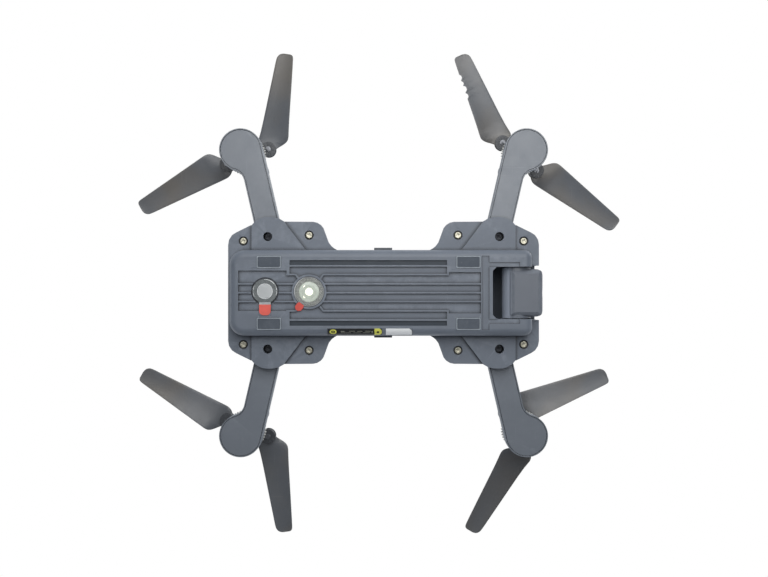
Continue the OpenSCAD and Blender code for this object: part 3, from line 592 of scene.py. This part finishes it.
def sheet(name, outline, top, bottom, material, wave=0.0, seed=0.0):
    """A thin sheet filled by shrunken copies of its outline; wave ripples both faces."""
    bm = bmesh.new()
    count = len(outline)
    cx = sum(p[0] for p in outline) / count
    cy = sum(p[1] for p in outline) / count
    layers = []
    for z in (top, bottom):
        rings = []
        for k in range(SHEET_RINGS, 0, -1):
            f = k / SHEET_RINGS
            ring_verts = []
            for x, y in outline:
                px, py = cx + (x - cx) * f, cy + (y - cy) * f
                at = Vector((px * WAVE_SCALE + seed, py * WAVE_SCALE, seed))
                lift = wave * noise(at) * (0.35 + 0.65 * f)
                ring_verts.append(bm.verts.new((px * MM, py * MM, (z + lift) * MM)))
            rings.append(ring_verts)
        rings.append([bm.verts.new((cx * MM, cy * MM, z * MM))])
        layers.append(rings)
    for rings, flip in zip(layers, (False, True)):
        for a, b in zip(rings, rings[1:]):
            bridge(bm, a, b, flip)
    upper, lower = layers[0][0], layers[1][0]
    for i in range(count):
        j = (i + 1) % count
        bm.faces.new((upper[i], lower[i], lower[j], upper[j]))
    return smooth_object(name, bm, material, angle=60)


def ring(name, centre, radius, width, z, depth, material):
    """A flat ring hanging down from z by depth."""
    bm = bmesh.new()
    inner, outer = radius - width / 2, radius + width / 2
    lathe(bm, [(inner, z), (inner + 0.02, z - depth), (outer - 0.02, z - depth), (outer, z)],
          segments=64, centre=centre)
    to_metres(bm)
    return smooth_object(name, bm, material, angle=40)


def glint(name, centre, radius, width, z, depth, start, end, steps=40):
    """A painted highlight: a thin pale part of a ring, tapering at both ends; angles in degrees.
    """
    bm = bmesh.new()
    rings = []
    for i in range(steps + 1):
        a = radians(start + (end - start) * i / steps)
        taper = width * (0.25 + 0.75 * sqrt(max(0.0, sin(pi * i / steps))))
        inner, outer = radius - taper / 2, radius + taper / 2
        rings.append([bm.verts.new(((centre[0] + r * cos(a)) * MM,
                                    (centre[1] + r * sin(a)) * MM, level * MM))
                      for r, level in ((inner, z), (inner, z - depth),
                                       (outer, z - depth), (outer, z))])
    bm.faces.new(rings[0])
    for a, b in zip(rings, rings[1:]):
        bridge(bm, a, b)
    bm.faces.new(rings[-1][::-1])
    return smooth_object(name, bm, "painted_glint", angle=40)


def dome(name, centre, radius, z, rise, material, segments=56, steps=10, thick=0.5):
    """A shallow lens: domed lower face, flat back."""
    bm = bmesh.new()
    profile = [(0.0, z - rise)]
    for k in range(1, steps + 1):
        f = k / steps
        profile.append((radius * f, z - rise * (1 - f * f)))
    profile += [(radius, z + thick), (0.0, z + thick)]
    lathe(bm, profile, segments, centre, close=False)
    to_metres(bm)
    return smooth_object(name, bm, material, angle=40)


def pad_rim(name, x, y, half_x, half_y, width, z, low_z, corner):
    """A thin proud rectangular rim with rounded corners, pale as a painted highlight along a
    pad's raised edge.
    """
    bm = bmesh.new()
    rows = []
    for inset, level in ((0.0, z), (0.04, low_z), (width - 0.04, low_z), (width, z)):
        row = []
        r = corner - inset
        for sx, sy, start in ((1, 1, 0), (-1, 1, 90), (-1, -1, 180), (1, -1, 270)):
            for k in range(6):
                a = radians(start + 18 * k)
                row.append(bm.verts.new(((x + sx * (half_x - corner) + r * cos(a)) * MM,
                                         (y + sy * (half_y - corner) + r * sin(a)) * MM,
                                         level * MM)))
        rows.append(row)
    for a, b in zip(rows, rows[1:] + rows[:1]):
        bridge(bm, a, b)
    return smooth_object(name, bm, "pad_rim_highlight", angle=40)


# ------------------------------------------------------------------ films, tabs, lamp, pads
CAM_X, CAM_Y = CAM = (-0.7, 51.0)
LAMP_X, LAMP_Y = LAMP = (-0.5, 32.05)
CAM_FILM_R = 5.25
LAMP_FILM_R = 6.1
LAMP_RIM_R = 6.25
# the camera film's neck, which leads to the left (+X) to its tab
NECK_START, NECK_END = 5.3, 5.7  # from the camera's centre
NECK_HALF = 2.5
NECK_GAP_HALF = 2.6              # half of the opening it leaves in the disc
TAB_END = 10.3                   # from the camera's centre
TAB_CORNER = 1.9
# the lamp film's tab: outline about its own centre, centre and turn
LAMP_TAB = [(-1.7, -1.3), (-0.6, -1.65), (0.9, -1.55), (1.75, -0.6),
            (1.75, 0.6), (0.9, 1.55), (-0.6, 1.65), (-1.7, 1.3)]
LAMP_TAB_X, LAMP_TAB_Y = 6.0, 36.3
LAMP_TAB_TURN = radians(38)
TAB_TOP, TAB_BOTTOM = 0.13, 0.01
# foot pads
PAD_X = 13.3
PAD_YS = (49.3, -36.5)
PAD_WIDTH, PAD_LENGTH = 4.1, 9.3
PAD_MARGIN = 0.52                # from a pad's edge to the outside of its rim


def camera_film():
    half = degrees(asin(NECK_GAP_HALF / NECK_START))
    return arc(CAM_X, CAM_Y, CAM_FILM_R, half, 360 - half, 44) + [
        (CAM_X + NECK_START, CAM_Y - NECK_HALF), (CAM_X + NECK_END, CAM_Y - NECK_HALF),
        (CAM_X + NECK_END, CAM_Y + NECK_HALF), (CAM_X + NECK_START, CAM_Y + NECK_HALF)]


def neck_cover():
    x0, x1 = CAM_X + 4.7, CAM_X + 5.75
    y0, y1 = CAM_Y - NECK_HALF, CAM_Y + NECK_HALF
    return [(x0, y0), (x1, y0), (x1, y1), (x0, y1)]


def camera_tab():
    start, corner_x = CAM_X + NECK_END, CAM_X + TAB_END - TAB_CORNER
    y0, y1 = CAM_Y - NECK_HALF, CAM_Y + NECK_HALF
    return ([(start, y0)] + arc(corner_x, y0 + TAB_CORNER, TAB_CORNER, -90, 0, 8)
            + arc(corner_x, y1 - TAB_CORNER, TAB_CORNER, 0, 90, 8) + [(start, y1)])


def lamp_tab():
    c, s = cos(LAMP_TAB_TURN), sin(LAMP_TAB_TURN)
    return [(LAMP_TAB_X + x * c - y * s, LAMP_TAB_Y + x * s + y * c) for x, y in LAMP_TAB]


on_airframe(sheet("film_belly_camera", camera_film(), top=0.10, bottom=0.02, material="film",
                  wave=0.05, seed=1.3), "protective_films")
# the arc stops one step short of a full turn, where the outline closes
on_airframe(sheet("film_lamp_disc", arc(LAMP_X, LAMP_Y, LAMP_FILM_R, 0, 352, 44), top=0.24,
                  bottom=0.16, material="film_lamp", wave=0.06, seed=4.1))

# cut rims of the lamp film and the camera window; the window's rim and the glints along the
# films are painted highlights
on_airframe(ring("film_rim_lamp", LAMP, radius=LAMP_RIM_R, width=0.22, z=0.26, depth=0.16,
                 material="rim"))
on_airframe(ring("camera_window_rim", CAM, radius=3.22, width=0.26, z=0.12, depth=0.2,
                 material="painted_glint"))
on_airframe(glint("film_glint_camera", CAM, radius=5.12, width=0.34, z=0.12, depth=0.11,
                  start=175, end=290))
on_airframe(glint("film_glint_camera_neck", CAM, radius=5.16, width=0.2, z=0.12, depth=0.11,
                  start=60, end=120))
on_airframe(glint("film_glint_lamp", LAMP, radius=LAMP_RIM_R, width=0.26, z=0.26, depth=0.18,
                  start=60, end=165))
on_airframe(ring("lamp_outer_flange", LAMP, radius=5.35, width=1.55, z=0.62, depth=0.16,
                 material="flange"))
on_airframe(sheet("film_neck", neck_cover(), top=0.12, bottom=0.015, material="rim"))

on_airframe(sheet("tab_belly_camera", camera_tab(), TAB_TOP, TAB_BOTTOM, "red"),
            "pull_tabs")
on_airframe(sheet("tab_lamp_disc", lamp_tab(), TAB_TOP, TAB_BOTTOM, "red_deep"))

on_airframe(dome("belly_camera_window", CAM, radius=3.12, z=0.02, rise=0.10,
                 material="window", thick=0.12))
on_airframe(dome("lamp_front_lens", LAMP, radius=4.55, z=0.72, rise=0.40,
                 material="lamp_lens"))
# painted reflection in the lamp: a glowing hot spot, a pale halo ring around it and two small
# painted highlights
on_airframe(dome("lamp_hot_spot", LAMP, radius=1.8, z=0.40, rise=0.16, material="led",
                 thick=0.1))
on_airframe(ring("lamp_painted_halo", LAMP, radius=2.5, width=1.0, z=0.46, depth=0.10,
                 material="painted_glow"))
for i, (dx, dy) in enumerate(((-2.0, 1.9), (2.1, 1.9))):
    on_airframe(dome(f"lamp_glint_{i}", (LAMP_X + dx, LAMP_Y + dy), radius=0.62, z=0.5,
                     rise=0.12, material="led", segments=20, steps=5, thick=0.1))

# pale frames on the pads' raised rims: painted highlights along their edges
for i, (side, y) in enumerate((side, y) for y in PAD_YS for side in (-1, 1)):
    on_airframe(pad_rim(f"pad_rim_painted_highlight_{i}", side * PAD_X, y,
                        half_x=PAD_WIDTH / 2 + PAD_MARGIN, half_y=PAD_LENGTH / 2 + PAD_MARGIN,
                        width=0.34, z=-0.15, low_z=-0.24, corner=0.5))


# ------------------------------------------------------------------ side labels
# They wrap the rounded left edge of the belly. Angles are in degrees about the edge's centre:
# -90 faces down and 0 faces left.
EDGE_R = 3.4
EDGE_X, EDGE_Z = 18.6 - EDGE_R, EDGE_R
BAND_STEPS = 14
# each layer lies a little proud of the one below: outer radius and thickness
LABEL = {"radius": 3.38, "thick": 0.09}
PRINT = {"radius": 3.40, "thick": 0.03}
# grey dashes on the dark strip: y, angle, length along y, span in degrees
DASHES = [(17.6, -66, 1.6, 5), (16.2, -55, 4.4, 2.5), (13.6, -68, 2.6, 3.5),
          (11.4, -55, 3.2, 2.5), (10.2, -67, 2.2, 3.5), (7.4, -56, 3.0, 2.5),
          (6.6, -68, 2.4, 3.5), (4.9, -62, 0.5, 14)]
# round marks: name, y, angle, length along y, span in degrees, material, outer radius
SPOTS = [("side_tip_spot", 2.4, -60, 1.1, 16, "strip", 3.42),
         ("side_mark_ring", 21.7, -62, 3.0, 40, "yellow", 3.40),
         ("side_mark_ring_core", 21.7, -62, 1.7, 22, "strip", 3.42),
         ("side_mark_ring_dot", 21.7, -62, 0.7, 8, "yellow", 3.43)]


def band(name, ys, angles, material, radius, thick, shape=None, rows=1):
    """A curved strip between two ys and two angles.

    shape(y, t) moves the point at y, with t from 0 to 1 across the strip.
    """
    bm = bmesh.new()
    (y0, y1), (start, end) = ys, angles
    layers = []
    for r in (radius, radius - thick):
        layer = []
        for k in range(rows + 1):
            y = y0 + (y1 - y0) * k / rows
            row = []
            for i in range(BAND_STEPS + 1):
                a = radians(start + (end - start) * i / BAND_STEPS)
                shaped_y = shape(y, i / BAND_STEPS) if shape else y
                row.append(bm.verts.new(((EDGE_X + r * cos(a)) * MM, shaped_y * MM,
                                         (EDGE_Z + r * sin(a)) * MM)))
            layer.append(row)
        layers.append(layer)
    for layer, flip in zip(layers, (False, True)):
        for a, b in zip(layer, layer[1:]):
            for i in range(BAND_STEPS):
                corners = (a[i], a[i + 1], b[i + 1], b[i])
                bm.faces.new(corners[::-1] if flip else corners)
    outer, inner = layers
    for i in range(BAND_STEPS):
        for k in (0, -1):
            bm.faces.new((outer[k][i], outer[k][i + 1], inner[k][i + 1], inner[k][i]))
    for k in range(rows):
        for i in (0, BAND_STEPS):
            bm.faces.new((outer[k][i], outer[k + 1][i], inner[k + 1][i], inner[k][i]))
    return smooth_object(name, bm, material, angle=50)


def half_round(t):
    """Height of a unit half circle at t from 0 to 1 across its width."""
    return sqrt(1 - (2 * t - 1) ** 2)


def slanted_front(y, t):
    """Cuts the lower front corner of the white label."""
    return y if y > -10 else y + 1.4 * max(0.0, 1 - 3.2 * t)


def round_front(y, t):
    """Rounds the front end of the yellow tip."""
    return y if y > 2 else 2.6 - 1.9 * half_round(t)


def around(middle, size):
    return middle - size / 2, middle + size / 2


def spot(name, y, angle, length, span, material, radius):
    def oval(edge_y, t):
        # the small addition keeps the two ends of the oval apart
        return y + (1 if edge_y > y else -1) * (length / 2 * half_round(t) + 0.001)
    on_airframe(band(name, around(y, length), around(angle, span), material, radius,
                     PRINT["thick"], oval))


on_airframe(band("side_strip_dark", (0.75, 24.0), (-88, -28), "strip", **LABEL, rows=2),
            "side_labels")
on_airframe(band("side_label_white", (-12.2, -1.0), (-92, -30), "white", **LABEL,
                 shape=slanted_front, rows=2))
on_airframe(band("side_strip_tip", (0.8, 3.9), (-92, -30), "yellow", **PRINT,
                 shape=round_front))
for entry in SPOTS:
    spot(*entry)
for i, (y, angle, length, span) in enumerate(DASHES):
    on_airframe(band(f"side_mark_{i}", around(y, length), around(angle, span), "ink",
                     **PRINT))


# ------------------------------------------------------------------ stage
FLOOR_HALF = 3.0
FLOOR_Z = -0.0006


def floor_material():
    """Pale and faintly glowing from above, clear from below."""
    material = bpy.data.materials.new("pale_floor")
    material.use_nodes = True
    graph = Graph(material.node_tree)
    output = graph.add("OutputMaterial")
    paint = graph.add("BsdfPrincipled", {"Base Color": srgb((244, 244, 243)),
                                         "Roughness": 0.8})
    painted_glow = graph.add("Emission", {"Color": (1, 1, 1, 1), "Strength": 0.22})
    lit = graph.add("AddShader", {0: paint.outputs[0], 1: painted_glow.outputs[0]})
    clear = graph.add("BsdfTransparent")
    geometry = graph.add("NewGeometry")
    mixed = graph.add("MixShader", {0: geometry.outputs["Backfacing"], 1: lit.outputs[0],
                                    2: clear.outputs[0]})
    graph.feed(output.inputs[0], mixed.outputs[0])
    return material


def floor():
    bm = bmesh.new()
    s = FLOOR_HALF
    bm.faces.new([bm.verts.new((x, y, FLOOR_Z))
                  for x, y in ((-s, -s), (s, -s), (s, s), (-s, s))])
    obj = link_object("floor_pale", bm, floor_material())
    obj.visible_diffuse = False
    obj.visible_glossy = False
    obj.visible_transmission = False
    obj.visible_shadow = False


def pale_world():
    """White to the camera; as light it comes mostly from the sides and above."""
    world = bpy.data.worlds.new("pale")
    scene.world = world
    world.use_nodes = True
    graph = Graph(world.node_tree)
    output = graph.add("OutputWorld")
    seen = graph.add("Background", {"Color": (1, 1, 1, 1), "Strength": 1.0})
    light = graph.add("Background", {"Color": (0.93, 0.96, 1.0, 1)})
    path = graph.add("LightPath")
    up = graph.split(graph.add("TexCoord").outputs["Generated"])[2]
    # weak from the camera's side below, strong past the horizon, fading again overhead
    rise = graph.remap(up, across=(-0.1, 0.3), to=(0.17, 1.5))
    fade = graph.remap(up, across=(0.4, 0.85), to=(1.0, 0.3))
    graph.feed(light.inputs["Strength"], graph.math("MULTIPLY", rise, fade))
    mixed = graph.add("MixShader", {0: path.outputs["Is Camera Ray"], 1: light.outputs[0],
                                    2: seen.outputs[0]})
    graph.feed(output.inputs[0], mixed.outputs[0])


# ------------------------------------------------------------------ lights and camera
LIGHT_TARGET = (0, 0, 0.01)


def area_light(name, location, size, power, colour):
    """A square area light aimed at the aircraft."""
    data = bpy.data.lights.new(name, "AREA")
    data.shape = "RECTANGLE"
    data.size = data.size_y = size
    data.energy = power
    data.color = colour
    obj = bpy.data.objects.new(name, data)
    scene.collection.objects.link(obj)
    obj.location = location
    aim = Vector(LIGHT_TARGET) - Vector(location)
    obj.rotation_euler = aim.to_track_quat("-Z", "Y").to_euler()
    obj.visible_camera = False


def camera():
    """Looks straight up at the belly, with the nose (-Y) to the right and -X at the top."""
    data = bpy.data.cameras.new("main")
    data.sensor_width = 36
    data.lens = 41.4375
    data.clip_start = 0.01
    data.clip_end = 20
    obj = bpy.data.objects.new("main", data)
    scene.collection.objects.link(obj)
    # the last column is the camera's place
    obj.matrix_world = Matrix(((0, -1, 0, -0.0019),
                               (-1, 0, 0, -0.0002),
                               (0, 0, -1, -0.380),
                               (0, 0, 0, 1)))
    scene.camera = obj


floor()
pale_world()
# from below: a near soft window on the aircraft's right, and a wide weak fill
area_light("key_belly", location=(-0.18, -0.03, -0.29), size=0.34, power=1.08,
           colour=(1.0, 0.992, 0.975))
area_light("fill_belly", location=(0.1, 0.2, -1.1), size=1.4, power=1.0,
           colour=(0.95, 0.97, 1.0))
# from above, for the upper side
area_light("key_top", location=(-0.7, -0.7, 1.0), size=0.8, power=8.0,
           colour=(1.0, 0.99, 0.97))
area_light("fill_top", location=(0.9, 0.5, 0.8), size=0.9, power=1.5,
           colour=(0.95, 0.97, 1.0))
camera()
scene.view_settings.view_transform = "Standard"
scene.view_settings.look = "None"
scene.view_settings.exposure = 0.0
